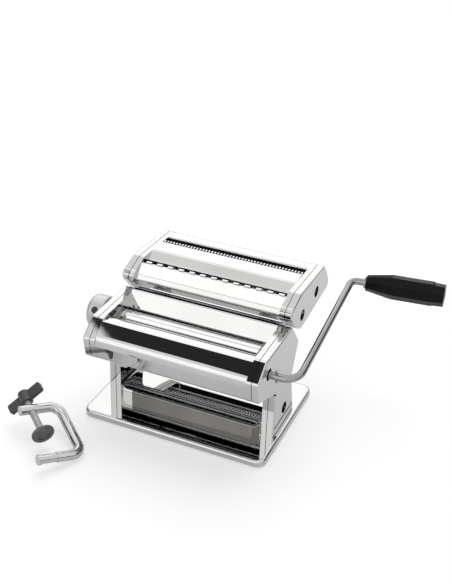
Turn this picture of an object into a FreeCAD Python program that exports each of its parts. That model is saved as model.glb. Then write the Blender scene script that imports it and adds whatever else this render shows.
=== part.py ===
import FreeCAD, Part
import math
import os

V = FreeCAD.Vector
os.makedirs("parts", exist_ok=True)

# Frame: X to the crank side, Y to the rear, Z up, millimetres, origin under the middle of the base.

# Sheet metal of the body
sheet = 1.0
inner_half = 78.0
flange_in = 5.2
seam = 0.6
flange_out = 7.1
face_x = inner_half + flange_in + seam + flange_out
web_x = face_x - sheet
edge_round = 1.6

# Side outline as (Y, Z, corner radius), anticlockwise from the front of the leg
base_top = 8.3
side_outline = [(-29.3, base_top, 0.0), (26.0, base_top, 0.0), (14.8, 55.4, 16.0), (28.9, 88.7, 6.0),
                (7.0, 115.3, 5.0), (-59.0, 115.3, 4.0), (-78.2, 100.2, 4.0), (-74.7, 78.2, 6.0),
                (-29.3, 60.0, 2.0)]
notch_r = 2.2

# Base plate and the rubber pad under it
base_left = -99.8
base_right = 96.7
base_half_depth = 70.5
base_low = 1.6
base_sheet = 1.2
base_corner = 10.0
base_edge = 3.2
pad_half_x = 84.0
pad_half_y = 56.0
pad_corner = 12.0

# Sheet rollers
roller_r = 14.3
front_axis = (-52.6, 97.6)
gap_open = 2.4
gap_travel = 2.06
axis_slope = math.radians(-14.0)
axis_step = 2 * roller_r + gap_open
rear_axis = (front_axis[0] + axis_step * math.cos(axis_slope),
             front_axis[1] + axis_step * math.sin(axis_slope))
close_dir = (-math.cos(axis_slope), -math.sin(axis_slope))
roller_end = inner_half - 0.8
stub_r = 6.0
run_fit = 0.05
body_gap = 0.3
gear_x0 = inner_half + 4.9
gear_x1 = web_x - 1.2
roller_teeth = 18
bush_r = 8.0

# Thickness dial
dial_axis = (-20.5, 95.0)
pin_throw = gap_travel / (2 * math.sin(math.radians(45)))
pin_r = 3.0
pin_fit = 0.12
shaft_r = 4.5
index_plate_t = 2.0
index_r = 12.5
index_steps = 7
index_step_deg = 15.0
knob_r = 17.6
knob_in = face_x + 4.1
knob_out = face_x + 22.3
knob_recess_r = 9.0
knob_recess_depth = 11.0

# Crank
crank_rod_r = 3.6
crank_socket_r = 3.95
crank_socket_end = 48.0
arm_x = 118.3
arm_length = 158.0
arm_angle = math.radians(10.2)
pin_splay = math.radians(5.5)
bend_r = 15.0
top_bend_r = 7.0
grip_from = 15.0
grip_length = 78.5

# Pasta cutter
cutter_outline = [(30.0, 100.0, 6.0), (38.0, 99.3, 5.0), (110.0, 107.0, 6.0), (114.0, 114.0, 4.0),
                  (104.0, 130.0, 5.0), (95.0, 139.5, 4.0), (26.0, 142.0, 6.0), (6.0, 135.3, 3.0),
                  (0.5, 131.5, 3.0), (2.3, 125.3, 4.0), (15.1, 110.0, 5.0)]
fine_axis = (73.4, 120.4)
wide_axis = (33.4, 114.6)
cutter_r = 9.3
ridge_depth = 2.0
ridge_overlap = 1.5
cutter_step = 2 * cutter_r - ridge_overlap
fine_dir = (-0.996, -0.093)
wide_dir = (-0.80, 0.60)
fine_count = 46
wide_count = 13
ridge_side_gap = 0.2
cutter_stub_r = 4.0
drive_stub_r = 5.5
drive_socket_r = 3.95
drive_socket_end = 60.0
cutter_teeth = 12
cap_hole_r = 6.0

# Table clamp, local axes a along the arms, b from the plain arm to the screw arm
clamp_hole_r = 6.5
clamp_hole = (-2.3, 27.0)
clamp_rod_r = 5.0
clamp_span = 64.0
clamp_arm = 45.9
clamp_bend = 11.0
clamp_tip_r = 4.2
clamp_screw_a = 28.6
clamp_screw_r = 3.4
clamp_pad_r = 11.2
clamp_pad_b = 30.9
clamp_wing_b = 79.6
clamp_wing_turn = math.radians(50.7)
clamp_origin = V(-66.0, -127.3, clamp_rod_r)
clamp_a_dir = V(-0.5511, -0.8073, 0.2111).normalize()
clamp_b_way = V(-0.7767, 0.5888, 0.2236)


def export(node, shape):
    if len(shape.Solids) == 1:
        shape = shape.Solids[0]
    shape.exportStep("parts/" + node + ".step")


# Outline with its corners rounded, in the plane X = x
def rounded_wire(corners, x):
    edges = []
    starts = []
    ends = []
    mids = []
    n = len(corners)
    for i in range(n):
        y, z, r = corners[i]
        p = V(x, y, z)
        a = V(x, corners[i - 1][0], corners[i - 1][1])
        b = V(x, corners[(i + 1) % n][0], corners[(i + 1) % n][1])
        ua = (a - p).normalize()
        ub = (b - p).normalize()
        half = math.acos(max(-1.0, min(1.0, ua.dot(ub)))) / 2
        if r < 1e-6 or half > math.radians(89):
            starts.append(p)
            ends.append(p)
            mids.append(None)
            continue
        reach = r / math.tan(half)
        middle = p + (ua + ub).normalize() * (r / math.sin(half))
        starts.append(p + ua * reach)
        ends.append(p + ub * reach)
        mids.append(middle + (p - middle).normalize() * r)
    for i in range(n):
        if mids[i] is not None:
            edges.append(Part.Arc(starts[i], mids[i], ends[i]).toShape())
        nxt = starts[(i + 1) % n]
        if (nxt - ends[i]).Length > 1e-4:
            edges.append(Part.makeLine(ends[i], nxt))
    return Part.Wire(edges)


def prism(corners, x0, x1):
    face = Part.Face(rounded_wire(corners, x0))
    return face.extrude(V(x1 - x0, 0, 0))


# Anticlockwise outline moved inwards by t
def inset(corners, t):
    n = len(corners)
    lines = []
    for i in range(n):
        y0, z0 = corners[i][0], corners[i][1]
        y1, z1 = corners[(i + 1) % n][0], corners[(i + 1) % n][1]
        length = math.hypot(y1 - y0, z1 - z0)
        ny, nz = -(z1 - z0) / length, (y1 - y0) / length
        lines.append((y0 + ny * t, z0 + nz * t, (y1 - y0) / length, (z1 - z0) / length))
    out = []
    for i in range(n):
        ay, az, day, daz = lines[i - 1]
        by, bz, dby, dbz = lines[i]
        det = day * dbz - daz * dby
        s = ((by - ay) * dbz - (bz - az) * dby) / det
        turn = day * dbz - daz * dby
        r = corners[i][2]
        r = max(0.0, r - t) if turn > 0 else r + t
        out.append((ay + day * s, az + daz * s, r))
    return out


def rod(axis, x0, x1, r):
    return Part.makeCylinder(r, x1 - x0, V(x0, axis[0], axis[1]), V(1, 0, 0))


def ring(axis, x0, x1, r_out, r_in):
    return rod(axis, x0, x1, r_out).cut(rod(axis, x0 - 1, x1 + 1, r_in))


def mirror_x(shape):
    return shape.mirror(V(0, 0, 0), V(1, 0, 0))


def edges_at_x(shape, x):
    found = []
    for edge in shape.Edges:
        box = edge.BoundBox
        if abs(box.XMin - x) < 1e-4 and abs(box.XMax - x) < 1e-4:
            found.append(edge)
    return found


# Pressed tray: a web with a flange all round
def tray(corners, x_web, x_rim, edge):
    outer = prism(corners, x_web, x_rim)
    if edge > 0:
        outer = outer.makeFillet(edge, edges_at_x(outer, x_web))
    way = 1.0 if x_rim > x_web else -1.0
    inner = prism(inset(corners, sheet), x_web + way * sheet, x_rim + way)
    return outer.cut(inner)


# Bent sheet: an open line of (Y, Z, bend radius) thickened to its left
def bent_sheet(line, t, x0, x1):
    n = len(line)
    dirs = []
    for i in range(n - 1):
        dy, dz = line[i + 1][0] - line[i][0], line[i + 1][1] - line[i][1]
        length = math.hypot(dy, dz)
        dirs.append((dy / length, dz / length))
    back = []
    for i in range(n):
        d0 = dirs[max(0, i - 1)]
        d1 = dirs[min(n - 2, i)]
        n0 = (-d0[1], d0[0])
        n1 = (-d1[1], d1[0])
        k = 1 + n0[0] * n1[0] + n0[1] * n1[1]
        turn = d0[0] * d1[1] - d0[1] * d1[0]
        r = line[i][2]
        if r > 0:
            r = r - t if turn > 0 else r + t
        back.append((line[i][0] + t * (n0[0] + n1[0]) / k, line[i][1] + t * (n0[1] + n1[1]) / k, max(0.0, r)))
    return prism(list(line) + back[::-1], x0, x1)


# Straight spur gear with involute flanks, a tooth or a gap centred at the given angle
def gear(axis, x0, x1, teeth, pitch_r, tip_r, root_r, play, centre_angle, bore_r):
    base_r = pitch_r * math.cos(math.radians(20))
    half_tooth = (math.pi * pitch_r / teeth - play) / (2 * pitch_r)
    inv_pitch = math.tan(math.radians(20)) - math.radians(20)
    points = []
    for k in range(teeth):
        mid = centre_angle + 2 * math.pi * k / teeth
        flank = []
        for i in range(5):
            r = max(base_r, root_r) + (tip_r - max(base_r, root_r)) * i / 4
            phi = math.acos(min(1.0, base_r / r))
            flank.append((r, half_tooth + inv_pitch - (math.tan(phi) - phi)))
        flank.insert(0, (root_r, flank[0][1]))
        for r, a in flank:
            points.append((r, mid - a))
        for r, a in flank[::-1]:
            points.append((r, mid + a))
    corners = [V(x0, axis[0] + r * math.cos(a), axis[1] + r * math.sin(a)) for r, a in points]
    face = Part.Face(Part.makePolygon(corners + [corners[0]]))
    return face.extrude(V(x1 - x0, 0, 0)).cut(rod(axis, x0 - 1, x1 + 1, bore_r))


def fused(shapes):
    whole = shapes[0]
    if len(shapes) > 1:
        whole = whole.multiFuse(shapes[1:])
    return whole.removeSplitter()


# Base plate: pressed tray, open underneath
def base_plate():
    width = base_right - base_left
    corner = V(base_left, -base_half_depth, base_low)
    box = Part.makeBox(width, 2 * base_half_depth, base_top - base_low, corner)
    upright = [e for e in box.Edges if e.BoundBox.ZLength > 1]
    box = box.makeFillet(base_corner, upright)
    rim = [e for e in box.Edges if e.BoundBox.ZMin > base_top - 1e-4]
    box = box.makeFillet(base_edge, rim)
    hollow = Part.makeBox(width - 2 * base_sheet, 2 * (base_half_depth - base_sheet), base_top - base_sheet,
                          V(base_left + base_sheet, -base_half_depth + base_sheet, 0))
    upright = [e for e in hollow.Edges if e.BoundBox.ZLength > 1]
    hollow = hollow.makeFillet(base_corner - base_sheet, upright)
    rim = [e for e in hollow.Edges if e.BoundBox.ZMin > base_top - base_sheet - 1e-4]
    return box.cut(hollow.makeFillet(base_edge - base_sheet, rim))


def base_pad():
    pad = Part.makeBox(2 * pad_half_x, 2 * pad_half_y, base_top - base_sheet, V(-pad_half_x, -pad_half_y, 0))
    return pad.makeFillet(pad_corner, [e for e in pad.Edges if e.BoundBox.ZLength > 1])


tie_rods = [(-64.0, 80.5), (14.0, 89.0), (-2.0, 48.0)]
tie_r = 3.0
cutter_ties = [(90.0, 115.0), (45.5, 104.8)]


# Frame of the rear bearing blocks: along the roller gap, and square to it
gap_along = close_dir
gap_across = (-close_dir[1], close_dir[0])
if gap_across[1] < 0:
    gap_across = (-gap_across[0], -gap_across[1])


def on_gap(along, across, start=rear_axis):
    y = start[0] + along * gap_along[0] + across * gap_across[0]
    z = start[1] + along * gap_along[1] + across * gap_across[1]
    return (y, z)


def gap_box(a0, a1, c0, c1, x0, x1, r=0.0):
    corners = [on_gap(a0, c0), on_gap(a0, c1), on_gap(a1, c1), on_gap(a1, c0)]
    return prism([(y, z, r) for y, z in corners], x0, x1)


block_half = 9.5
block_low = -25.0
block_high = 12.5
yoke_low = -23.0
yoke_high = -17.0
yoke_half = 4.0


# Inner side plate on the crank side, with foot tabs, lanced guides and its holes
def inner_plate(left):
    plate = tray(side_outline, inner_half, inner_half + flange_in, 0)
    parts = [plate]
    for y in (-24.0, 17.0):
        tab = Part.makeBox(21.0, 14.0, 1.2, V(inner_half - 21.0, y - 7.0, base_top))
        corner = [e for e in tab.Edges if e.BoundBox.ZLength > 1 and e.BoundBox.XMax < inner_half - 20]
        parts.append(tab.makeFillet(6.5, corner))
    guide_x1 = inner_half + sheet + 2.6
    for c0 in (block_high + body_gap, block_low - body_gap - 2.0):
        parts.append(gap_box(-block_half, block_half, c0, c0 + 2.0, inner_half + sheet, guide_x1))
    plate = fused(parts)
    plate = plate.cut(rod(front_axis, inner_half - 1, inner_half + 2, bush_r))
    slot = rod(on_gap(gap_travel / 2, 0), inner_half - 1, inner_half + 2, stub_r + gap_travel / 2 + 1.2)
    plate = plate.cut(slot)
    yoke_slot = gap_box(-yoke_half - 0.8, yoke_half + 0.8 + gap_travel, yoke_low - 0.6, yoke_high + 0.6,
                        inner_half - 1, inner_half + 2)
    plate = plate.cut(yoke_slot)
    for axis in tie_rods:
        plate = plate.cut(rod(axis, inner_half - 1, inner_half + 2, tie_r))
    plate = plate.cut(rod((side_outline[8][0], side_outline[8][1]), inner_half - 1, face_x, notch_r))
    if left:
        return mirror_x(plate)
    return plate.cut(rod(clamp_hole, inner_half - 1, inner_half + 2, clamp_hole_r))


def side_cover(left):
    cover = tray(side_outline, face_x, face_x - flange_out, edge_round)
    cover = cover.cut(rod((side_outline[8][0], side_outline[8][1]), inner_half, face_x + 1, notch_r))
    if left:
        return mirror_x(cover).cut(rod(dial_axis, -face_x - 1, -web_x + 1, shaft_r + run_fit))
    cover = cover.cut(rod(front_axis, web_x - 1, face_x + 1, cap_hole_r))
    return cover.cut(rod(clamp_hole, web_x - 1, face_x + 1, clamp_hole_r))


# Folded front panel, its top lip just clear of the front roller
front_line = [(-57.4, 113.3, 0.0), (-61.3, 113.5, 1.8), (-78.0, 100.3, 12.0), (-74.6, 78.6, 5.0),
              (-63.0, 73.9, 0.0)]

# Feed plate behind the rollers, folded back at both edges
feed_line = [(-7.6, 99.3, 0.0), (-10.7, 102.0, 1.2), (-1.4, 118.6, 1.6), (5.9, 116.2, 0.0)]

# Rear panel following the back of the side plates
rear_line = [(16.4, 60.0, 0.0), (28.9, 88.7, 6.0), (9.6, 112.1, 0.0)]


def front_panel():
    return bent_sheet(front_line, sheet, -inner_half, inner_half)


def feed_plate():
    return bent_sheet(feed_line[::-1], sheet, -inner_half, inner_half)


def rear_panel():
    return bent_sheet(rear_line, sheet, -inner_half, inner_half)


# Thin plate that keeps the dough off the side wall, shaped to the rollers
def dough_guide(left):
    x0 = inner_half - 3.4
    x1 = x0 + 0.8
    plate = prism([(-48.6, 111.2, 0.5), (-36.0, 98.0, 0.0), (-24.9, 112.8, 0.5)], x0, x1)
    lug = Part.makeBox(inner_half - x0, 6.0, 0.8, V(x0, -37.0, 111.2))
    plate = plate.fuse(lug)
    clear = roller_r + 0.5
    for axis in (front_axis, rear_axis, on_gap(gap_travel / 2, 0), on_gap(gap_travel, 0)):
        plate = plate.cut(rod(axis, x0 - 1, x1 + 5, clear))
    if left:
        return mirror_x(plate)
    return plate


def front_bush(left):
    outer = inner_half + sheet
    bush = ring(front_axis, inner_half, outer, bush_r, stub_r + run_fit)
    bush = bush.fuse(ring(front_axis, outer, outer + 1.8, bush_r + 2.5, stub_r + run_fit))
    bush = bush.removeSplitter()
    if left:
        return mirror_x(bush)
    return bush


# Front roller with its journals and the crank socket
def front_roller():
    body = rod(front_axis, -roller_end, roller_end, roller_r)
    body = body.makeChamfer(0.6, [e for e in body.Edges if len(e.Vertexes) == 1])
    left = rod(front_axis, -inner_half - 4.6, -roller_end, stub_r)
    right = rod(front_axis, roller_end, gear_x1, stub_r)
    whole = fused([body, left, right])
    return whole.cut(rod(front_axis, crank_socket_end, gear_x1 + 1, crank_socket_r))


def rear_roller():
    body = rod(rear_axis, -roller_end, roller_end, roller_r)
    body = body.makeChamfer(0.6, [e for e in body.Edges if len(e.Vertexes) == 1])
    left = rod(rear_axis, -inner_half - 6.0, -roller_end, stub_r)
    right = rod(rear_axis, roller_end, gear_x1, stub_r)
    return fused([body, left, right])


closed_step = axis_step - gap_travel
gear_pitch = closed_step / 2
gear_module = closed_step / roller_teeth
gear_tip = gear_pitch + gear_module * 0.97
gear_root = closed_step - gear_tip - 0.4
to_rear = axis_slope


def roller_gear(axis, turn):
    return gear(axis, gear_x0, gear_x1, roller_teeth, gear_pitch, gear_tip, gear_root, 0.4, turn, stub_r)


def front_gear():
    return roller_gear(front_axis, to_rear)


def rear_gear():
    return roller_gear(rear_axis, to_rear + math.pi + math.pi / roller_teeth)


# Left bearing block: journal bore inside, cross slot for the dial pin outside
def left_block():
    x_in = inner_half + sheet + body_gap
    x_out = web_x - 1.2
    block = gap_box(-block_half, block_half, block_low, block_high, -x_out, -x_in, 1.5)
    block = block.cut(rod(rear_axis, -inner_half - 6.4, -x_in + 1, stub_r + run_fit))
    rel = (dial_axis[0] - rear_axis[0], dial_axis[1] - rear_axis[1])
    along = rel[0] * gap_along[0] + rel[1] * gap_along[1] - pin_throw * math.sin(math.radians(45))
    across = rel[0] * gap_across[0] + rel[1] * gap_across[1]
    c0 = across + pin_throw * math.cos(math.radians(45)) - pin_r - 0.3
    c1 = across + pin_throw + pin_r + 0.3
    half = pin_r + pin_fit
    slot = gap_box(along - half, along + half, c0, c1, -x_out - 1, -inner_half - 6.8, half - 0.05)
    return block.cut(slot)


def right_block():
    x_in = inner_half + sheet + body_gap
    block = gap_box(-block_half, block_half, block_low, block_high, x_in, x_in + 3.2, 1.5)
    return block.cut(rod(rear_axis, x_in - 1, x_in + 4.2, stub_r + run_fit))


def gap_yoke():
    x_in = inner_half + sheet + body_gap
    return gap_box(-yoke_half, yoke_half, yoke_low, yoke_high, -x_in, x_in, 1.0)


# Dial shaft with its eccentric pin
def dial_shaft():
    shaft = rod(dial_axis, -knob_out + 1.8, -web_x + 0.9, shaft_r)
    disc = rod(dial_axis, -web_x + 0.3, -web_x + 0.9, 7.0)
    a = -pin_throw * math.sin(math.radians(45))
    c = pin_throw * math.cos(math.radians(45))
    pin = rod(on_gap(a, c, dial_axis), -web_x + 0.9, -inner_half - 7.1, pin_r)
    return fused([shaft, disc, pin])


def dial_cap():
    cap = rod(dial_axis, -knob_out + 0.4, -knob_out + 1.8, knob_recess_r - 0.6)
    slot = Part.makeBox(0.8, 1.6, 20.0, V(-knob_out, dial_axis[0] - 0.8, dial_axis[1] - 10.0))
    return cap.cut(slot)


def index_angle(k):
    return math.radians(112.0 + (k - (index_steps - 1) / 2) * index_step_deg)


def index_plate():
    plate = ring(dial_axis, -face_x - index_plate_t, -face_x, index_r + 3.5, shaft_r + run_fit)
    for k in range(index_steps):
        a = index_angle(k)
        spot = (dial_axis[0] + index_r * math.cos(a), dial_axis[1] + index_r * math.sin(a))
        plate = plate.cut(rod(spot, -face_x - index_plate_t - 1, -face_x + 0.5, 1.8))
    return plate


# Knob: rounded disc, recessed for the shaft end, with its index pin
def knob():
    disc = rod(dial_axis, -knob_out, -knob_in, knob_r)
    disc = disc.makeFillet(6.0, edges_at_x(disc, -knob_out))
    disc = disc.makeFillet(2.5, edges_at_x(disc, -knob_in))
    disc = disc.cut(rod(dial_axis, -knob_out - 1, -knob_out + knob_recess_depth, knob_recess_r))
    disc = disc.cut(rod(dial_axis, -knob_out - 1, -knob_in + 1, shaft_r + body_gap))
    a = index_angle(index_steps - 1)
    spot = (dial_axis[0] + index_r * math.cos(a), dial_axis[1] + index_r * math.sin(a))
    pin = rod(spot, -knob_in - 1.0, -face_x - index_plate_t - body_gap, 1.4)
    disc = disc.fuse(pin).removeSplitter()
    return disc.cut(knob_dot_tool())


dot_angle = math.radians(146.0)
dot_x = -face_x - 11.5
dot_r = 3.6


def knob_dot_tool():
    out = V(0, math.cos(dot_angle), math.sin(dot_angle))
    foot_point = V(dot_x, dial_axis[0], dial_axis[1]) + out * (knob_r - 3.0)
    return Part.makeCylinder(dot_r, 6.0, foot_point, out)


def knob_dot():
    return knob_dot_tool().common(rod(dial_axis, -knob_out, -knob_in, knob_r - 0.25))


# Rod bent along points with given radii
def bent_rod(points, radii, r):
    edges = []
    last = points[0]
    for i in range(1, len(points) - 1):
        p = points[i]
        ua = (points[i - 1] - p).normalize()
        ub = (points[i + 1] - p).normalize()
        half = math.acos(ua.dot(ub)) / 2
        reach = radii[i - 1] / math.tan(half)
        middle = p + (ua + ub).normalize() * (radii[i - 1] / math.sin(half))
        start = p + ua * reach
        end = p + ub * reach
        edges.append(Part.makeLine(last, start))
        edges.append(Part.Arc(start, middle + (p - middle).normalize() * radii[i - 1], end).toShape())
        last = end
    edges.append(Part.makeLine(last, points[-1]))
    along = points[1] - points[0]
    circle = Part.Wire(Part.makeCircle(r, points[0], along))
    return Part.Wire(edges).makePipeShell([circle], True, False)


arm_dir = V(0, math.cos(arm_angle), math.sin(arm_angle))
crank_foot = V(arm_x, front_axis[0], front_axis[1])
crank_top = crank_foot + arm_dir * arm_length
grip_dir = V(math.cos(pin_splay), 0, 0) + arm_dir * math.sin(pin_splay)


# Crank rod with its pressed ears; the grip turns on its outer end
def crank():
    start = V(crank_socket_end + 2.0, front_axis[0], front_axis[1])
    end = crank_top + grip_dir * (grip_from + grip_length - 6.0)
    bar = bent_rod([start, crank_foot, crank_top, end], [bend_r, top_bend_r], crank_rod_r)
    side = V(0, -arm_dir.z, arm_dir.y)
    ear = Part.makeBox(2.6, 15.0, 2.2, V(face_x + 6.0, -7.5, -1.1))
    ear = ear.makeFillet(1.0, [e for e in ear.Edges if e.BoundBox.XLength > 2])
    ear.rotate(V(0, 0, 0), V(1, 0, 0), math.degrees(math.atan2(side.z, side.y)))
    ear.translate(V(0, front_axis[0], front_axis[1]))
    collar = Part.makeCylinder(6.0, 1.6, crank_top + grip_dir * (grip_from - 2.0), grip_dir)
    return fused([bar, ear, collar])


# Eight-sided grip, slim at the neck, with a bored core
def grip():
    sections = [(0.0, 8.0), (26.0, 12.4), (66.0, 12.4), (68.0, 11.6), (grip_length, 11.2)]
    sides = 8
    turn = math.radians(22.5 - 8.0)
    wires = []
    angles = [turn + 2 * math.pi * k / sides for k in range(sides)]
    for s, r in sections:
        pts = [V(s, r * math.cos(a), r * math.sin(a)) for a in angles]
        wires.append(Part.makePolygon(pts + [pts[0]]))
    pieces = []
    for i in range(len(wires) - 1):
        pieces.append(Part.makeLoft([wires[i], wires[i + 1]], True, True))
    body = fused(pieces)
    body = body.cut(Part.makeCylinder(crank_rod_r + body_gap, grip_length + 2, V(-1, 0, 0), V(1, 0, 0)))
    body = body.cut(Part.makeCylinder(6.2, 8.0, V(grip_length - 7.0, 0, 0), V(1, 0, 0)))
    turn_axis = V(1, 0, 0).cross(grip_dir)
    body.rotate(V(0, 0, 0), turn_axis, math.degrees(pin_splay))
    body.translate(crank_top + grip_dir * grip_from)
    return body


def grip_screw():
    at = grip_length - 6.0
    return Part.makeCylinder(5.4, 2.4, crank_top + grip_dir * (grip_from + at), grip_dir)


# Cutter side tray, its bearings and its outer cap
def partner(axis, way):
    return (axis[0] + cutter_step * way[0], axis[1] + cutter_step * way[1])


fine_partner = partner(fine_axis, fine_dir)
wide_partner = partner(wide_axis, wide_dir)
cutter_axes = [fine_axis, fine_partner, wide_axis, wide_partner]


def cutter_plate(left):
    plate = tray(cutter_outline, inner_half, inner_half + flange_in, 0)
    for axis in cutter_axes:
        lead = axis in (fine_axis, wide_axis) and not left
        hole_r = (drive_stub_r if lead else cutter_stub_r) + run_fit
        plate = plate.cut(rod(axis, inner_half - 1, inner_half + 2, hole_r))
    for axis in cutter_ties:
        plate = plate.cut(rod(axis, inner_half - 1, inner_half + 2, tie_r))
    if left:
        return mirror_x(plate)
    return plate


def cutter_cap(left):
    cap = tray(cutter_outline, face_x, face_x - flange_out, edge_round)
    if left:
        return mirror_x(cap)
    for axis in (fine_axis, wide_axis):
        cap = cap.cut(rod(axis, web_x - 1, face_x + 1, cap_hole_r))
    return cap


# Cutting roller: ridges and grooves of equal pitch, the partner half a pitch over
def cutter_roller(axis, count, shifted):
    pitch = 2 * inner_half / (count + 0.5)
    ridge = pitch / 2 - ridge_side_gap
    end = inner_half - 0.6
    core = cutter_r - ridge_depth
    line = [(-end, 0.0), (-end, core)]
    start = -inner_half + pitch / 2 + (pitch / 2 if shifted else 0.0)
    k = 0
    while start + k * pitch + ridge / 2 < end - 0.3:
        x0 = start + k * pitch - ridge / 2
        line += [(x0, core), (x0, cutter_r), (x0 + ridge, cutter_r), (x0 + ridge, core)]
        k += 1
    line += [(end, core), (end, 0.0)]
    pts = [V(x, axis[0], axis[1] + r) for x, r in line]
    body = Part.Face(Part.makePolygon(pts + [pts[0]])).revolve(V(0, axis[0], axis[1]), V(1, 0, 0), 360)
    left = rod(axis, -inner_half - 4.0, -end, cutter_stub_r)
    right = rod(axis, end, gear_x1, cutter_stub_r if shifted else drive_stub_r)
    whole = fused([body, left, right])
    if shifted:
        return whole
    return whole.cut(rod(axis, drive_socket_end, gear_x1 + 1, drive_socket_r))


def cutter_gear(axis, angle, bore_r):
    pitch_r = cutter_step / 2
    module = cutter_step / cutter_teeth
    tip = pitch_r + module * 0.95
    root = cutter_step - tip - 0.35
    return gear(axis, gear_x0, gear_x1, cutter_teeth, pitch_r, tip, root, 0.35, angle, bore_r)


rear_strip_line = [(78.8, 135.6, 0.0), (80.2, 140.2, 1.4), (94.0, 139.2, 3.0), (101.0, 131.5, 0.0)]
mid_cover_line = [(31.4, 133.4, 0.0), (30.4, 136.8, 1.4), (42.8, 141.6, 2.5), (57.0, 141.2, 1.4),
                  (57.4, 137.4, 0.0)]
front_strip_line = [(14.0, 114.5, 0.0), (4.5, 126.5, 2.0), (7.6, 131.2, 1.4), (19.6, 138.8, 1.4),
                    (21.6, 135.4, 0.0)]


def cutter_sheet(line):
    return bent_sheet(line[::-1], sheet, -inner_half, inner_half)


# Comb bars that lift the strips out of the grooves
def comb(axis, way, drop):
    y = axis[0] + cutter_step / 2 * way[0] + drop[0]
    z = axis[1] + cutter_step / 2 * way[1] + drop[1]
    corners = [(y - 3.0, z - 1.5, 0.8), (y + 3.0, z - 1.5, 0.8),
               (y + 1.2, z + 1.5, 0.4), (y - 1.2, z + 1.5, 0.4)]
    return prism(corners, -inner_half, inner_half)


# Sliding T joint between the body's back slope and the cutter
slope_dir = V(0, 28.9 - 7.0, 88.7 - 115.3).normalize()
slope_out = V(0, -slope_dir.z, slope_dir.y)
slope_mid = V(0, (28.9 + 7.0) / 2, (88.7 + 115.3) / 2)
rail_x = 58.0


def slope_box(x0, x1, t0, t1, n0, n1):
    corners = []
    for t, n in ((t0, n0), (t1, n0), (t1, n1), (t0, n1)):
        p = slope_mid + slope_dir * t + slope_out * n
        corners.append((p.y, p.z, 0.0))
    return prism(corners, x0, x1)


def cutter_rail(side):
    x = side * rail_x
    walls = [slope_box(x - 7, x - 3.3, -7, 8, 0, 4.0), slope_box(x + 3.3, x + 7, -7, 8, 0, 4.0),
             slope_box(x - 3.3, x - 1.7, -7, 8, 2.9, 4.0), slope_box(x + 1.7, x + 3.3, -7, 8, 2.9, 4.0),
             slope_box(x - 7, x + 7, 8, 10, 0, 4.0)]
    return fused(walls)


def cutter_hanger():
    parts = [slope_box(-inner_half, inner_half, -5, 4, 5.0, 6.2)]
    for side in (-1, 1):
        x = side * rail_x
        parts.append(slope_box(x - 2.9, x + 2.9, -6.5, 7.7, 0.4, 2.5))
        parts.append(slope_box(x - 1.3, x + 1.3, -6.5, 3.5, 2.4, 5.1))
    return fused(parts)


# Table clamp
clamp_b_dir = (clamp_b_way - clamp_a_dir * clamp_a_dir.dot(clamp_b_way)).normalize()
clamp_c_dir = clamp_a_dir.cross(clamp_b_dir).normalize()


def on_clamp(a, b, c=0.0):
    return clamp_origin + clamp_a_dir * a + clamp_b_dir * b + clamp_c_dir * c


def clamp_rod_along(a, b0, b1, r):
    return Part.makeCylinder(r, b1 - b0, on_clamp(a, b0), clamp_b_dir)


def clamp_bar():
    points = [on_clamp(clamp_arm - 19.0, 0), on_clamp(0, 0), on_clamp(0, clamp_span),
              on_clamp(clamp_arm - 5.6, clamp_span)]
    bar = bent_rod(points, [clamp_bend, clamp_bend], clamp_rod_r)
    neck = Part.makeCylinder(clamp_tip_r, 17.0, on_clamp(clamp_arm - 19.5, 0), clamp_a_dir)
    tip = Part.makeCylinder(clamp_rod_r, 3.0, on_clamp(clamp_arm - 3.0, 0), clamp_a_dir)
    whole = fused([bar, neck, tip])
    bore_r = clamp_screw_r + body_gap
    return whole.cut(clamp_rod_along(clamp_screw_a, clamp_span - 20.0, clamp_span + 20.0, bore_r))


def clamp_pad():
    pad = clamp_rod_along(clamp_screw_a, clamp_pad_b - 1.4, clamp_pad_b + 1.6, clamp_pad_r)
    pad = pad.makeFillet(0.9, [e for e in pad.Edges if len(e.Vertexes) == 1])
    pad = pad.cut(clamp_rod_along(clamp_screw_a, clamp_pad_b - 4.0, clamp_pad_b - 0.6, clamp_pad_r - 4.0))
    collar = clamp_rod_along(clamp_screw_a, clamp_pad_b + 1.2, clamp_pad_b + 5.0, 4.7)
    pad = pad.fuse(collar).removeSplitter()
    bore_r = clamp_screw_r + body_gap
    return pad.cut(clamp_rod_along(clamp_screw_a, clamp_pad_b + 1.0, clamp_pad_b + 10.0, bore_r))


def clamp_screw():
    return clamp_rod_along(clamp_screw_a, clamp_pad_b + 1.3, clamp_wing_b - 6.0, clamp_screw_r)


def clamp_wing():
    hub = clamp_rod_along(clamp_screw_a, clamp_wing_b - 6.0, clamp_wing_b + 7.0, 5.8)
    blade = Part.makeBox(40.0, 4.2, 10.8, V(-20.0, -2.1, -5.4))
    ends = [e for e in blade.Edges if e.BoundBox.YLength > 4 and e.BoundBox.XLength < 0.1]
    blade = blade.makeFillet(2.0, ends)
    local_x = clamp_a_dir * math.cos(clamp_wing_turn) + clamp_c_dir * math.sin(clamp_wing_turn)
    local_y = clamp_b_dir.cross(local_x)
    at = on_clamp(clamp_screw_a, clamp_wing_b)
    m = FreeCAD.Matrix(local_x.x, local_y.x, clamp_b_dir.x, at.x, local_x.y, local_y.y, clamp_b_dir.y, at.y,
                       local_x.z, local_y.z, clamp_b_dir.z, at.z, 0, 0, 0, 1)
    blade = blade.transformGeometry(m)
    return fused([hub, blade])


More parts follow.
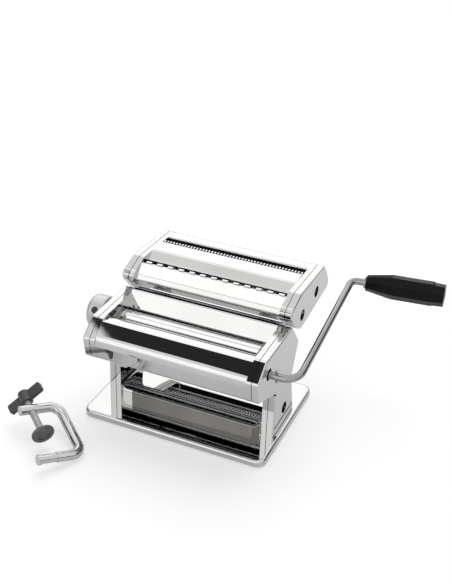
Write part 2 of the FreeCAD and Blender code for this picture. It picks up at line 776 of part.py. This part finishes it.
# Body
export("base_plate", base_plate())
export("base_pad", base_pad())
for name, left in (("l", True), ("r", False)):
    export("inner_plate_" + name, inner_plate(left))
    export("side_cover_" + name, side_cover(left))
    export("dough_guide_" + name, dough_guide(left))
    export("front_bush_" + name, front_bush(left))
    export("cutter_plate_" + name, cutter_plate(left))
    export("cutter_cap_" + name, cutter_cap(left))
for k, axis in enumerate(tie_rods):
    export("tie_rod_%d" % (k + 1), rod(axis, -web_x, web_x, tie_r))
export("front_panel", front_panel())
export("feed_plate", feed_plate())
export("rear_panel", rear_panel())
export("index_plate", index_plate())
for name, side in (("l", -1), ("r", 1)):
    export("cutter_rail_" + name, cutter_rail(side))

# Rollers, gap adjustment and crank
export("front_roller", front_roller())
export("front_gear", front_gear())
export("rear_roller", rear_roller())
export("rear_gear", rear_gear())
export("block_l", left_block())
export("block_r", right_block())
export("gap_yoke", gap_yoke())
export("dial_shaft", dial_shaft())
export("dial_cap", dial_cap())
export("knob", knob())
export("knob_dot", knob_dot())
export("crank", crank())
export("grip", grip())
export("grip_screw", grip_screw())

# Cutter
for k, axis in enumerate(cutter_ties):
    export("cutter_tie_%d" % (k + 1), rod(axis, -web_x, web_x, tie_r))
export("cutter_rear_strip", cutter_sheet(rear_strip_line))
export("cutter_mid_cover", cutter_sheet(mid_cover_line))
export("cutter_front_strip", cutter_sheet(front_strip_line))
export("cutter_hanger", cutter_hanger())
export("fine_comb", comb(fine_axis, fine_dir, (0.5, -9.5)))
export("wide_comb", comb(wide_axis, wide_dir, (-5.1, -6.8)))
fine_turn = math.atan2(fine_dir[1], fine_dir[0])
wide_turn = math.atan2(wide_dir[1], wide_dir[0])
half_step = math.pi / cutter_teeth
export("fine_roller_a", cutter_roller(fine_axis, fine_count, False))
export("fine_roller_b", cutter_roller(fine_partner, fine_count, True))
export("wide_roller_a", cutter_roller(wide_axis, wide_count, False))
export("wide_roller_b", cutter_roller(wide_partner, wide_count, True))
export("fine_gear_a", cutter_gear(fine_axis, fine_turn, drive_stub_r))
export("fine_gear_b", cutter_gear(fine_partner, fine_turn + math.pi + half_step, cutter_stub_r))
export("wide_gear_a", cutter_gear(wide_axis, wide_turn, drive_stub_r))
export("wide_gear_b", cutter_gear(wide_partner, wide_turn + math.pi + half_step, cutter_stub_r))

# Clamp
export("clamp_bar", clamp_bar())
export("clamp_pad", clamp_pad())
export("clamp_screw", clamp_screw())
export("clamp_wing", clamp_wing())
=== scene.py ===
import math
import bpy
from mathutils import Matrix, Vector


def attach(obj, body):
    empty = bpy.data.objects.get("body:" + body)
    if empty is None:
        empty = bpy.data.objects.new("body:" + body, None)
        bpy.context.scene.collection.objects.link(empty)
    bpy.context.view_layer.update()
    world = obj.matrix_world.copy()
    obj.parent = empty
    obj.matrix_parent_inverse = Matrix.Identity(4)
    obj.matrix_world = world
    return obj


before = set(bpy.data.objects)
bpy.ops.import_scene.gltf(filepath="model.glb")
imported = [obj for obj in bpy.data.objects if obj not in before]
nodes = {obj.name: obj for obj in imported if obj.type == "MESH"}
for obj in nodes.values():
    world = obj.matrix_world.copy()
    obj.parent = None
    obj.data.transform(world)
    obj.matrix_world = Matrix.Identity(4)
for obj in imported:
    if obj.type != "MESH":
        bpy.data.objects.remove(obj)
scene = bpy.context.scene
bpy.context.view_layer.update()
print("frame loaded,", len(nodes), "nodes")

# the part of the noise that is stretched over a finish, and how fine it is
markRange, markDetail = (0.3, 0.7), 4.0
cloudRange, cloudDetail = (0.35, 0.65), 3.0
even = (1.0, 1.0, 1.0)
plainSpecular = 0.5

# sockets of a mix node that mixes colours
mixFactor, mixFirst, mixSecond, mixResult = 0, 6, 7, 2


def grey(tone):
    return (tone, tone, tone)


def opaque(colour):
    return colour + (1.0,)


# node tree helpers
def newMaterial(name):
    mat = bpy.data.materials.new(name)
    mat.use_nodes = True
    tree = mat.node_tree
    tree.nodes.clear()
    out = tree.nodes.new("ShaderNodeOutputMaterial")
    return mat, tree, out


def objectPattern(tree, stretch):
    coords = tree.nodes.new("ShaderNodeTexCoord")
    mapping = tree.nodes.new("ShaderNodeMapping")
    mapping.inputs["Scale"].default_value = stretch
    tree.links.new(coords.outputs["Object"], mapping.inputs["Vector"])
    return mapping.outputs["Vector"]


def noise(tree, vector, scale, detail):
    tex = tree.nodes.new("ShaderNodeTexNoise")
    tex.inputs["Scale"].default_value = scale
    tex.inputs["Detail"].default_value = detail
    tree.links.new(vector, tex.inputs["Vector"])
    return tex.outputs["Fac"]


def mapRange(tree, value, start, end):
    ranged = tree.nodes.new("ShaderNodeMapRange")
    ranged.inputs["From Min"].default_value = start[0]
    ranged.inputs["From Max"].default_value = start[1]
    ranged.inputs["To Min"].default_value = end[0]
    ranged.inputs["To Max"].default_value = end[1]
    tree.links.new(value, ranged.inputs["Value"])
    return ranged.outputs["Result"]


def joinTones(tree, operation, first, second):
    node = tree.nodes.new("ShaderNodeMath")
    node.operation = operation
    tree.links.new(first, node.inputs[0])
    tree.links.new(second, node.inputs[1])
    return node.outputs["Value"]


def blendColours(tree, value, dark, light):
    ramp = tree.nodes.new("ShaderNodeValToRGB")
    for element, place, colour in zip(ramp.color_ramp.elements, cloudRange, (dark, light)):
        element.position = place
        element.color = opaque(colour)
    tree.links.new(value, ramp.inputs["Fac"])
    return ramp.outputs["Color"]


def addBump(tree, shader, height, strength, distance):
    bump = tree.nodes.new("ShaderNodeBump")
    bump.inputs["Strength"].default_value = strength
    bump.inputs["Distance"].default_value = distance
    tree.links.new(height, bump.inputs["Height"])
    tree.links.new(bump.outputs["Normal"], shader.inputs["Normal"])


# how far a point lies from a line along X
def fromAxis(tree, axis):
    coords = tree.nodes.new("ShaderNodeTexCoord")
    shift = tree.nodes.new("ShaderNodeVectorMath")
    shift.operation = "SUBTRACT"
    shift.inputs[1].default_value = (0.0, axis[0], axis[1])
    flat = tree.nodes.new("ShaderNodeVectorMath")
    flat.operation = "MULTIPLY"
    flat.inputs[1].default_value = (0.0, 1.0, 1.0)
    length = tree.nodes.new("ShaderNodeVectorMath")
    length.operation = "LENGTH"
    tree.links.new(coords.outputs["Object"], shift.inputs[0])
    tree.links.new(shift.outputs["Vector"], flat.inputs[0])
    tree.links.new(flat.outputs["Vector"], length.inputs[0])
    return length.outputs["Value"]


# painted shade in the grooves, which are darker, polished finish on the ridges
def darkenGrooves(tree, colour, look):
    mix = tree.nodes.new("ShaderNodeMix")
    mix.data_type = "RGBA"
    mix.inputs[mixFirst].default_value = opaque(look["grooveShade"])
    ridge = mapRange(tree, fromAxis(tree, look["axis"]), look["groove"], (0.0, 1.0))
    tree.links.new(ridge, mix.inputs[mixFactor])
    tree.links.new(colour, mix.inputs[mixSecond])
    return mix.outputs[mixResult]


# one finish: colour varies with a soft cloud, gloss and bump with fine marks that run along "grain"
def makeFinish(look):
    mat, tree, out = newMaterial(look["name"])
    shader = tree.nodes.new("ShaderNodeBsdfPrincipled")
    tree.links.new(shader.outputs["BSDF"], out.inputs["Surface"])
    cloud = noise(tree, objectPattern(tree, even), look["cloud"], cloudDetail)
    marks = noise(tree, objectPattern(tree, look["grain"]), look["marks"], markDetail)
    shader.inputs["Metallic"].default_value = look["metal"]
    shader.inputs["Specular IOR Level"].default_value = look.get("specular", plainSpecular)
    colour = blendColours(tree, cloud, look["dark"], look["light"])
    # rollers with an axis get painted shade in their grooves
    if "axis" in look:
        colour = darkenGrooves(tree, colour, look)
    tree.links.new(colour, shader.inputs["Base Color"])
    rough = mapRange(tree, marks, markRange, look["rough"])
    tree.links.new(rough, shader.inputs["Roughness"])
    addBump(tree, shader, marks, look["bump"], look["depth"])
    return mat


platedSheet = {"name": "platedSheet", "metal": 1.0,
               "dark": (0.6, 0.598, 0.592), "light": (0.64, 0.638, 0.632),
               "cloud": 14.0, "grain": (6.0, 6.0, 6.0), "marks": 45.0, "rough": (0.015, 0.03),
               "bump": 0.01, "depth": 0.0003}
# darker copy of the plated sheet for the dough guides: painted shade inside the hopper
guideShadeSteel = dict(platedSheet, name="guideShadeSteel",
                  dark=(0.17, 0.168, 0.164), light=(0.23, 0.228, 0.224))
# darker copy of the plated sheet for the tray's front: painted shade under the body
trayShadePainted = dict(platedSheet, name="trayShadePainted",
                 dark=(0.15, 0.145, 0.135), light=(0.2, 0.194, 0.182))
platedRod = {"name": "platedRod", "metal": 1.0, "dark": grey(0.54), "light": grey(0.6),
             "cloud": 30.0, "grain": (8.0, 8.0, 8.0), "marks": 60.0, "rough": (0.06, 0.11),
             "bump": 0.04, "depth": 0.0003}
# darker copy of the plated rod for the crank: painted shade
crankShadedRod = dict(platedRod, name="crankShadedRod",
                dark=(0.3, 0.298, 0.298), light=(0.36, 0.358, 0.358))
groundRoller = {"name": "groundRoller", "metal": 1.0,
                "dark": (0.64, 0.638, 0.632), "light": (0.7, 0.698, 0.692),
                "cloud": 20.0, "grain": (60.0, 1.0, 1.0), "marks": 60.0, "rough": (0.08, 0.14),
                "bump": 0.06, "depth": 0.0002}
plainSteel = {"name": "plainSteel", "metal": 1.0,
              "dark": (0.4, 0.4, 0.41), "light": (0.5, 0.5, 0.51),
              "cloud": 40.0, "grain": (1.0, 12.0, 12.0), "marks": 50.0, "rough": (0.24, 0.4),
              "bump": 0.1, "depth": 0.0003}
# near black copy of plain steel: painted shade on the cutter sheets' faces that look to the front
paintedShadeSteel = dict(plainSteel, name="paintedShadeSteel", metal=0.3, dark=grey(0.008), light=grey(0.014))
screwSteel = {"name": "screwSteel", "metal": 0.85, "dark": grey(0.36), "light": grey(0.46),
              "cloud": 220.0, "grain": even, "marks": 600.0, "rough": (0.4, 0.55),
              "bump": 0.1, "depth": 0.0002}
padSteel = {"name": "padSteel", "metal": 0.6,
            "dark": (0.15, 0.15, 0.148), "light": (0.2, 0.2, 0.197),
            "cloud": 180.0, "grain": even, "marks": 700.0, "rough": (0.5, 0.65),
            "bump": 0.1, "depth": 0.0002}
knobSilver = {"name": "knobSilver", "metal": 0.4,
              "dark": (0.62, 0.627, 0.614), "light": (0.68, 0.687, 0.674),
              "cloud": 40.0, "grain": even, "marks": 60.0, "rough": (0.3, 0.36),
              "bump": 0.01, "depth": 0.0001}
gripBlack = {"name": "gripBlack", "metal": 0.0, "specular": 0.16,
             "dark": grey(0.002), "light": grey(0.003),
             "cloud": 50.0, "grain": even, "marks": 500.0, "rough": (0.14, 0.2),
             "bump": 0.02, "depth": 0.0001}
wingGrey = {"name": "wingGrey", "metal": 0.0, "dark": grey(0.05), "light": grey(0.075),
            "cloud": 70.0, "grain": even, "marks": 1200.0, "rough": (0.36, 0.5),
            "bump": 0.12, "depth": 0.0002}
markBlack = {"name": "markBlack", "metal": 0.0, "dark": grey(0.012), "light": grey(0.02),
             "cloud": 90.0, "grain": even, "marks": 900.0, "rough": (0.35, 0.5),
             "bump": 0.1, "depth": 0.0001}
padRubber = {"name": "padRubber", "metal": 0.0, "dark": grey(0.014), "light": grey(0.024),
             "cloud": 60.0, "grain": even, "marks": 800.0, "rough": (0.7, 0.9),
             "bump": 0.3, "depth": 0.0003}
looks = [platedSheet, guideShadeSteel, platedRod, crankShadedRod, trayShadePainted, groundRoller, plainSteel,
         paintedShadeSteel, screwSteel, padSteel, knobSilver, gripBlack, wingGrey, markBlack, padRubber]

# nodes that aren't listed are plain steel
finishOf = {
    "platedSheet": ["base_plate", "inner_plate_l", "inner_plate_r", "side_cover_l",
                    "side_cover_r", "front_panel", "feed_plate", "rear_panel",
                    "cutter_plate_l", "cutter_plate_r", "cutter_cap_l", "cutter_cap_r",
                    "cutter_rear_strip", "cutter_mid_cover", "cutter_front_strip"],
    "guideShadeSteel": ["dough_guide_l", "dough_guide_r"],
    "platedRod": ["grip_screw", "clamp_bar"],
    "crankShadedRod": ["crank"],
    "groundRoller": ["front_roller", "rear_roller"],
    "screwSteel": ["clamp_screw"],
    "padSteel": ["clamp_pad"],
    "knobSilver": ["knob"],
    "markBlack": ["knob_dot"],
    "gripBlack": ["grip"],
    "wingGrey": ["clamp_wing"],
    "padRubber": ["base_pad"],
}

# axes of the four cutting rollers as (Y, Z), and the radii where a groove ends and a ridge starts
cuttingAxes = {"fine_roller_a": (0.0734, 0.1204), "fine_roller_b": (0.05637, 0.11881),
               "wide_roller_a": (0.0334, 0.1146), "wide_roller_b": (0.01972, 0.12486)}
cuttingGroove = (0.0080, 0.0090)
# near black tone of the painted shade in the cutting rollers' grooves
cuttingGrooveShade = grey(0.03)
for roller, axis in cuttingAxes.items():
    ridges = "ridges_" + roller
    looks.append(dict(groundRoller, name=ridges, axis=axis, groove=cuttingGroove, grooveShade=cuttingGrooveShade))
    finishOf[ridges] = [roller]

finishes = {look["name"]: makeFinish(look) for look in looks}
for nodeName, obj in nodes.items():
    chosen = "plainSteel"
    for finish, names in finishOf.items():
        if nodeName in names:
            chosen = finish
    for slot in obj.material_slots:
        slot.material = finishes[chosen]
print("finishes set on", len(nodes), "nodes")

# modelling helpers
edgeMode = (False, True, False)
faceMode = (False, False, True)
smoothAngle = math.radians(35.0)
touching = 0.0001
# a face looks along an axis when that part of its normal is over "facing"; "turned" is less strict
facing = 0.5
turned = 0.3


def applyModifier(obj, kind, settings):
    mod = obj.modifiers.new(kind.lower(), kind)
    for key, value in settings.items():
        setattr(mod, key, value)
    bpy.ops.object.modifier_apply(modifier=mod.name)


def pickFaces(obj, wanted):
    bpy.context.tool_settings.mesh_select_mode = faceMode
    for part in list(obj.data.vertices) + list(obj.data.edges):
        part.select = False
    for face in obj.data.polygons:
        face.select = wanted(face)
    bpy.ops.object.mode_set(mode="EDIT")


def pickEdges(obj, wanted):
    bpy.context.tool_settings.mesh_select_mode = edgeMode
    for part in list(obj.data.vertices) + list(obj.data.polygons):
        part.select = False
    for edge in obj.data.edges:
        edge.select = wanted([obj.data.vertices[v].co for v in edge.vertices])
    bpy.ops.object.mode_set(mode="EDIT")


# shallow pressed tray that lies on the base between the legs, open underneath; its front is
# painted darker than the rest, painted shade under the body, apart from the end left of the split
# along X
legTray = {"low": (-0.0777, -0.0367, 0.0083), "high": (0.0777, 0.033, 0.021), "sheet": 0.001,
           "corner": 0.0085, "cornerSteps": 8, "round": 0.003, "roundSteps": 5,
           "sharp": math.radians(50.0), "shadeFromX": -0.061}


def makeLegTray():
    bpy.ops.object.select_all(action="DESELECT")
    low, high = Vector(legTray["low"]), Vector(legTray["high"])
    bpy.ops.mesh.primitive_cube_add(size=1.0, location=(low + high) / 2)
    tray = bpy.context.active_object
    tray.name = "legTray"
    tray.scale = high - low
    bpy.ops.object.transform_apply(location=True, rotation=True, scale=True)
    pickFaces(tray, lambda face: face.normal.z < -facing)
    bpy.ops.mesh.delete(type="ONLY_FACE")
    bpy.ops.object.mode_set(mode="OBJECT")
    pickEdges(tray, lambda ends: abs(ends[0].z - ends[1].z) > touching)
    bpy.ops.mesh.bevel(offset=legTray["corner"], segments=legTray["cornerSteps"], affect="EDGES")
    bpy.ops.mesh.select_all(action="SELECT")
    bpy.ops.mesh.bisect(plane_co=(legTray["shadeFromX"], 0.0, 0.0), plane_no=(1.0, 0.0, 0.0))
    bpy.ops.object.mode_set(mode="OBJECT")
    applyModifier(tray, "BEVEL", {"width": legTray["round"], "segments": legTray["roundSteps"],
                                  "limit_method": "ANGLE", "angle_limit": legTray["sharp"]})
    applyModifier(tray, "SOLIDIFY", {"thickness": legTray["sheet"], "offset": -1.0})
    bpy.ops.object.shade_smooth_by_angle(angle=smoothAngle)
    tray.data.materials.append(finishes["platedSheet"])
    tray.data.materials.append(finishes["trayShadePainted"])
    # front faces right of the split take the painted shade
    for face in tray.data.polygons:
        shadedFace = face.normal.y < -turned and face.center.x > legTray["shadeFromX"]
        face.material_index = 1 if shadedFace else 0
    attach(tray, "frame")


# sheet that closes the back of the cutter head, as (Y, Z) from its top edge down; its front face
# carries the painted shade that darkens the slots
cutterBack = {"name": "cutterBack", "half": 0.0776, "round": 0.002, "sheet": 0.0009,
              "line": [(0.1006, 0.1312), (0.1085, 0.1175), (0.106, 0.109)]}
# lip that carries the middle cover's top on to the fine slot
midLip = {"name": "midLip", "half": 0.0777, "round": 0.001, "sheet": 0.0009,
          "line": [(0.0445, 0.14079), (0.0652, 0.14019), (0.0656, 0.1372)]}
# strip along the back of the fine slot, its front near black: painted shade inside the slot
slotShadeStrip = {"name": "slotShadeStrip", "half": 0.0776, "round": 0.0004, "sheet": 0.0004,
             "line": [(0.078, 0.1397), (0.0774, 0.1352), (0.0782, 0.131)]}
bendSteps = 4


# bright sheet with one bend; the faces that look to the front are near black, painted shade
def makeBentSheet(piece):
    bpy.ops.object.select_all(action="DESELECT")
    top, bend, foot = [Vector((0.0, y, z)) for y, z in piece["line"]]
    rise = top - bend
    tilt = (math.atan2(rise.z, rise.y), 0.0, 0.0)
    bpy.ops.mesh.primitive_plane_add(size=1.0, location=(top + bend) / 2, rotation=tilt)
    plate = bpy.context.active_object
    plate.name = piece["name"]
    plate.scale = (2 * piece["half"], rise.length, 1.0)
    bpy.ops.object.transform_apply(location=True, rotation=True, scale=True)
    pickEdges(plate, lambda ends: all((end - bend).yz.length < touching for end in ends))
    bpy.ops.mesh.extrude_region_move(TRANSFORM_OT_translate={"value": foot - bend})
    bpy.ops.object.mode_set(mode="OBJECT")
    applyModifier(plate, "BEVEL", {"width": piece["round"], "segments": bendSteps,
                                   "limit_method": "ANGLE"})
    applyModifier(plate, "SOLIDIFY", {"thickness": piece["sheet"], "offset": -1.0})
    bpy.ops.object.shade_smooth_by_angle(angle=smoothAngle)
    plate.data.materials.append(finishes["platedSheet"])
    plate.data.materials.append(finishes["paintedShadeSteel"])
    # faces that look to the front take the painted shade
    for face in plate.data.polygons:
        face.material_index = 1 if face.normal.y < -turned else 0
    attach(plate, "cutter")


# combs whose teeth stand up in the front edge of each slot: the bar goes from low to high in
# (Y, Z), the teeth go up to the top
slotCombs = [{"name": "fineSlotComb", "half": 0.0776, "count": 46,
              "low": (0.0668, 0.1355), "high": (0.0694, 0.1385), "top": 0.1410},
             {"name": "wideSlotComb", "half": 0.0776, "count": 13,
              "low": (0.0223, 0.1335), "high": (0.025, 0.1358), "top": 0.1380}]
# half a tooth's width as a share of the pitch, and how near two teeth's ends are welded
toothShare = 0.24
weld = 0.00001


# one tooth on its stretch of bar, then a row of them
def makeSlotComb(comb):
    pitch = 2 * comb["half"] / comb["count"]
    tooth = pitch * toothShare
    low, high = comb["low"], comb["high"]
    bpy.ops.object.select_all(action="DESELECT")
    first = -comb["half"] + pitch / 2
    middle = (first, (low[0] + high[0]) / 2, (low[1] + high[1]) / 2)
    bpy.ops.mesh.primitive_cube_add(size=1.0, location=middle)
    bar = bpy.context.active_object
    bar.name = comb["name"]
    bar.scale = (pitch, high[0] - low[0], high[1] - low[1])
    bpy.ops.object.transform_apply(location=True, rotation=True, scale=True)
    bpy.context.tool_settings.mesh_select_mode = faceMode
    bpy.ops.object.mode_set(mode="EDIT")
    for side in (-1, 1):
        bpy.ops.mesh.select_all(action="SELECT")
        bpy.ops.mesh.bisect(plane_co=(first + side * tooth, 0.0, 0.0), plane_no=(1.0, 0.0, 0.0))
    bpy.ops.object.mode_set(mode="OBJECT")
    pickFaces(bar, lambda face: face.normal.z > facing and abs(face.center.x - first) < tooth)
    grow = (0.0, 0.0, comb["top"] - high[1])
    bpy.ops.mesh.extrude_region_move(TRANSFORM_OT_translate={"value": grow})
    bpy.ops.object.mode_set(mode="OBJECT")
    pickFaces(bar, lambda face: abs(face.center.x - first) > pitch / 2 - touching)
    bpy.ops.mesh.delete(type="ONLY_FACE")
    bpy.ops.object.mode_set(mode="OBJECT")
    applyModifier(bar, "ARRAY", {"count": comb["count"], "use_relative_offset": False,
                                 "use_constant_offset": True,
                                 "constant_offset_displace": (pitch, 0.0, 0.0),
                                 "use_merge_vertices": True, "merge_threshold": weld})
    bpy.ops.object.mode_set(mode="EDIT")
    bpy.ops.mesh.select_all(action="SELECT")
    bpy.ops.mesh.fill_holes(sides=0)
    bpy.ops.mesh.normals_make_consistent(inside=False)
    bpy.ops.object.mode_set(mode="OBJECT")
    bar.data.materials.append(finishes["platedSheet"])
    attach(bar, "cutter")


makeLegTray()
for sheet in (cutterBack, midLip, slotShadeStrip):
    makeBentSheet(sheet)
for comb in slotCombs:
    makeSlotComb(comb)
print("tray, cutter sheets and slot combs made")


# white room with dark flags: a low band that edges the chrome, left out in front, one high in
# front, which sloping chrome shows, and two at the sides
studio = {"white": 1.0, "fill": 0.55,
          "flags": [{"towards": (0.0, 0.0, -1.0), "edge": (-0.24, -0.16), "tone": 0.06,
                     "cut": (0.0, 1.0, 0.0), "cutEdge": (-0.6, -0.4)},
                    {"towards": (-0.34, -0.34, 0.877), "edge": (0.982, 0.986), "tone": 0.03,
                     "cut": (1.0, 1.0, 0.0), "cutEdge": (-0.558, -0.553)},
                    {"towards": (0.8, 0.55, 0.25), "edge": (0.90, 0.94), "tone": 0.12},
                    {"towards": (-0.95, -0.1, 0.25), "edge": (0.91, 0.95), "tone": 0.12}]}


# white turning to a tone as the direction nears "way"
def fadeTowards(tree, direction, way, edge, tone):
    dot = tree.nodes.new("ShaderNodeVectorMath")
    dot.operation = "DOT_PRODUCT"
    dot.inputs[1].default_value = Vector(way).normalized()
    tree.links.new(direction, dot.inputs[0])
    return mapRange(tree, dot.outputs["Value"], edge, (studio["white"], tone))


def makeWorld():
    world = bpy.data.worlds.new("studio")
    scene.world = world
    world.use_nodes = True
    tree = world.node_tree
    tree.nodes.clear()
    out = tree.nodes.new("ShaderNodeOutputWorld")
    path = tree.nodes.new("ShaderNodeLightPath").outputs
    around = tree.nodes.new("ShaderNodeTexCoord").outputs["Generated"]
    tone = None
    for flag in studio["flags"]:
        patch = fadeTowards(tree, around, flag["towards"], flag["edge"], flag["tone"])
        if "cut" in flag:
            keep = fadeTowards(tree, around, flag["cut"], flag["cutEdge"], flag["tone"])
            patch = joinTones(tree, "MAXIMUM", patch, keep)
        tone = joinTones(tree, "MINIMUM", tone, patch) if tone else patch
    # the camera sees plain white, only chrome sees the flags
    tone = joinTones(tree, "MAXIMUM", path["Is Camera Ray"], tone)
    seen = tree.nodes.new("ShaderNodeBackground")
    seen.inputs["Color"].default_value = opaque(grey(1.0))
    tree.links.new(tone, seen.inputs["Strength"])
    fill = tree.nodes.new("ShaderNodeBackground")
    fill.inputs["Strength"].default_value = studio["fill"]
    # rays that are seen or mirrored take the room, the rest take the even fill
    sharp = joinTones(tree, "MAXIMUM", path["Is Camera Ray"], path["Is Glossy Ray"])
    sharp = joinTones(tree, "MAXIMUM", sharp, path["Is Transmission Ray"])
    mix = tree.nodes.new("ShaderNodeMixShader")
    tree.links.new(sharp, mix.inputs["Fac"])
    tree.links.new(fill.outputs["Background"], mix.inputs[1])
    tree.links.new(seen.outputs["Background"], mix.inputs[2])
    tree.links.new(mix.outputs["Shader"], out.inputs["Surface"])


# pale floor: its own glow keeps it white, the lit share carries the shadow
table = {"size": 12.0, "top": -0.0002, "glow": 0.53, "mirrored": 0.3, "paint": 0.58}


def makeFloor():
    bpy.ops.object.select_all(action="DESELECT")
    bpy.ops.mesh.primitive_plane_add(size=table["size"], location=(0.0, 0.0, table["top"]))
    floor = bpy.context.active_object
    floor.name = "floor"
    mat, tree, out = newMaterial("paleFloor")
    paint = tree.nodes.new("ShaderNodeBsdfDiffuse")
    paint.inputs["Color"].default_value = opaque(grey(table["paint"]))
    glow = tree.nodes.new("ShaderNodeEmission")
    path = tree.nodes.new("ShaderNodeLightPath")
    direct = tree.nodes.new("ShaderNodeMath")
    direct.operation = "MULTIPLY"
    direct.inputs[1].default_value = table["glow"]
    tree.links.new(path.outputs["Is Camera Ray"], direct.inputs[0])
    strength = tree.nodes.new("ShaderNodeMath")
    strength.operation = "MULTIPLY_ADD"
    strength.inputs[1].default_value = table["mirrored"]
    tree.links.new(path.outputs["Is Glossy Ray"], strength.inputs[0])
    tree.links.new(direct.outputs["Value"], strength.inputs[2])
    tree.links.new(strength.outputs["Value"], glow.inputs["Strength"])
    add = tree.nodes.new("ShaderNodeAddShader")
    tree.links.new(paint.outputs["BSDF"], add.inputs[0])
    tree.links.new(glow.outputs["Emission"], add.inputs[1])
    tree.links.new(add.outputs["Shader"], out.inputs["Surface"])
    floor.data.materials.append(mat)


# broad soft light from above and behind for the shadows, never mirrored in the chrome
lamp = {"power": 1.2, "spread": 50.0, "tilt": (-30.0, 0.0, 0.0)}

# soft boxes the chrome mirrors: place, size and brightness; all face the machine
softBoxes = [{"name": "rearBox", "place": (-0.45, 1.25, 0.95), "size": (1.6, 1.2), "glow": 0.45},
             {"name": "topBox", "place": (-0.434, -0.04, 1.32), "size": (0.7, 0.42), "glow": 0.5},
             {"name": "frontBox", "place": (-0.55, -1.35, 0.75), "size": (1.8, 0.8), "glow": 0.4}]
boxAim = Vector((0.0, 0.0, 0.1))
# watts per square metre that make a box as bright as a glow of 1
boxPower = 4.0


def makeLamps():
    sun = bpy.data.lights.new("softTop", "SUN")
    sun.energy = lamp["power"]
    sun.angle = math.radians(lamp["spread"])
    obj = bpy.data.objects.new("softTop", sun)
    obj.rotation_euler = [math.radians(v) for v in lamp["tilt"]]
    obj.visible_glossy = False
    scene.collection.objects.link(obj)
    for box in softBoxes:
        light = bpy.data.lights.new(box["name"], "AREA")
        light.shape = "RECTANGLE"
        light.size, light.size_y = box["size"]
        light.energy = boxPower * box["size"][0] * box["size"][1] * box["glow"]
        obj = bpy.data.objects.new(box["name"], light)
        place = Vector(box["place"])
        turn = (place - boxAim).to_track_quat("Z", "Y")
        obj.matrix_world = Matrix.Translation(place) @ turn.to_matrix().to_4x4()
        scene.collection.objects.link(obj)


# camera fitted to the photograph, focal length in pixels over the frame's height
view = {"place": (0.3436, -0.76565, 0.61885), "right": (0.9149, 0.4024, 0.0313),
        "up": (-0.2260, 0.4466, 0.8657), "back": (0.3344, -0.7991, 0.4996),
        "focal": 1000.0, "height": 584.0, "sensor": 36.0, "near": 0.01}


def makeCamera():
    data = bpy.data.cameras.new("view")
    data.sensor_fit = "VERTICAL"
    data.sensor_height = view["sensor"]
    data.lens = view["focal"] / view["height"] * view["sensor"]
    data.clip_start = view["near"]
    cam = bpy.data.objects.new("view", data)
    right, up, back = Vector(view["right"]), Vector(view["up"]), Vector(view["back"])
    turn = Matrix((right, up, back)).transposed().to_4x4()
    cam.matrix_world = Matrix.Translation(view["place"]) @ turn
    scene.collection.objects.link(cam)
    scene.camera = cam


makeWorld()
makeFloor()
makeLamps()
makeCamera()
scene.view_settings.view_transform = "Standard"
print("studio and camera set")
